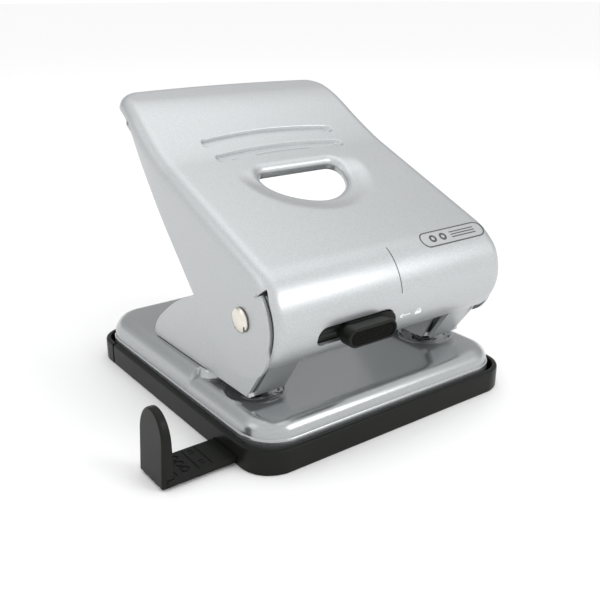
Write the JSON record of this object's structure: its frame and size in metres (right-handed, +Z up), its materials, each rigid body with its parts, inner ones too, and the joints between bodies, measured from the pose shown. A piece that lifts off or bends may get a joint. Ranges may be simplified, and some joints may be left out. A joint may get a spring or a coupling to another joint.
{
  "type": "hole punch",
  "caption": "Desk punch for two holes: pressed steel lever handle over a silver base, with a clip-on plastic chip tray, a sliding paper guide and a handle lock.",
  "frame": {"origin": "middle of the chip tray's flat underside, on the surface the punch stands on", "axes": "+X to the right as the user faces the nose, +Y from the nose to the raised back of the handle, +Z up"},
  "size_m": [0.1408, 0.1262, 0.1078],
  "materials": {
    "silver_paint": "fine metallic silver lacquer, satin",
    "gloss_silver": "metallic silver lacquer, glossier than the handle",
    "black_plastic": "moulded, very dark grey-black, satin",
    "hard_steel": "hardened and ground",
    "bright_steel": "zinc plated, dull",
    "spring_steel": "drawn wire",
    "nickel": "nickel plated, warm, polished"
  },
  "bodies": {
    "tray": {"chip_tray": "black_plastic"},
    "guide": {"paper_guide": "black_plastic"},
    "frame": {"base_plate": "gloss_silver", "bracket_left": "silver_paint", "die_left": "hard_steel", "pin_guide_left": "bright_steel", "pivot_pin_left": "nickel", "pin_spring_left": "spring_steel", "rivet_left_front": "nickel", "rivet_left_rear": "nickel", "bracket_right": "silver_paint", "die_right": "hard_steel", "pin_guide_right": "bright_steel", "pivot_pin_right": "nickel", "pin_spring_right": "spring_steel", "rivet_right_front": "nickel", "rivet_right_rear": "nickel"},
    "lever": {"handle": "silver_paint", "presser_left": "bright_steel", "presser_right": "bright_steel"},
    "lock": {"lock_slider": "black_plastic", "lock_bar": "bright_steel"},
    "pin_left": {"punch_pin_left": "hard_steel", "pin_clip_left": "bright_steel"},
    "pin_right": {"punch_pin_right": "hard_steel", "pin_clip_right": "bright_steel"}
  },
  "joints": [
    {"name": "tray_opening", "type": "hinge", "parent": "tray", "child": "frame", "pos_m": [0, -0.0591, 0.0089], "axis": [1, 0, 0], "range_deg": [0, 60]},
    {"name": "guide_slide", "type": "slide", "parent": "tray", "child": "guide", "axis": [-1, 0, 0], "range_m": [-0.0205, 0.07]},
    {"name": "handle_press", "type": "hinge", "parent": "frame", "child": "lever", "pos_m": [0, -0.0411, 0.0464], "axis": [-1, 0, 0], "range_deg": [0, 32], "stiffness_Nm_per_rad": 0.5, "springref_deg": -34.38},
    {"name": "lock_slide", "type": "slide", "parent": "lever", "child": "lock", "axis": [-1, 0, 0], "range_m": [0, 0.0068]},
    {"name": "pin_left_slide", "type": "slide", "parent": "frame", "child": "pin_left", "axis": [0, 0, -1], "range_m": [0, 0.0056], "deforming": ["pin_spring_left"]},
    {"name": "pin_right_slide", "type": "slide", "parent": "frame", "child": "pin_right", "axis": [0, 0, -1], "range_m": [0, 0.0056], "deforming": ["pin_spring_right"]}
  ],
  "couplings": [
    {"joint": "pin_left_slide", "follows": "handle_press", "m_per_rad": 0.00938},
    {"joint": "pin_right_slide", "follows": "handle_press", "m_per_rad": 0.00938}
  ]
}
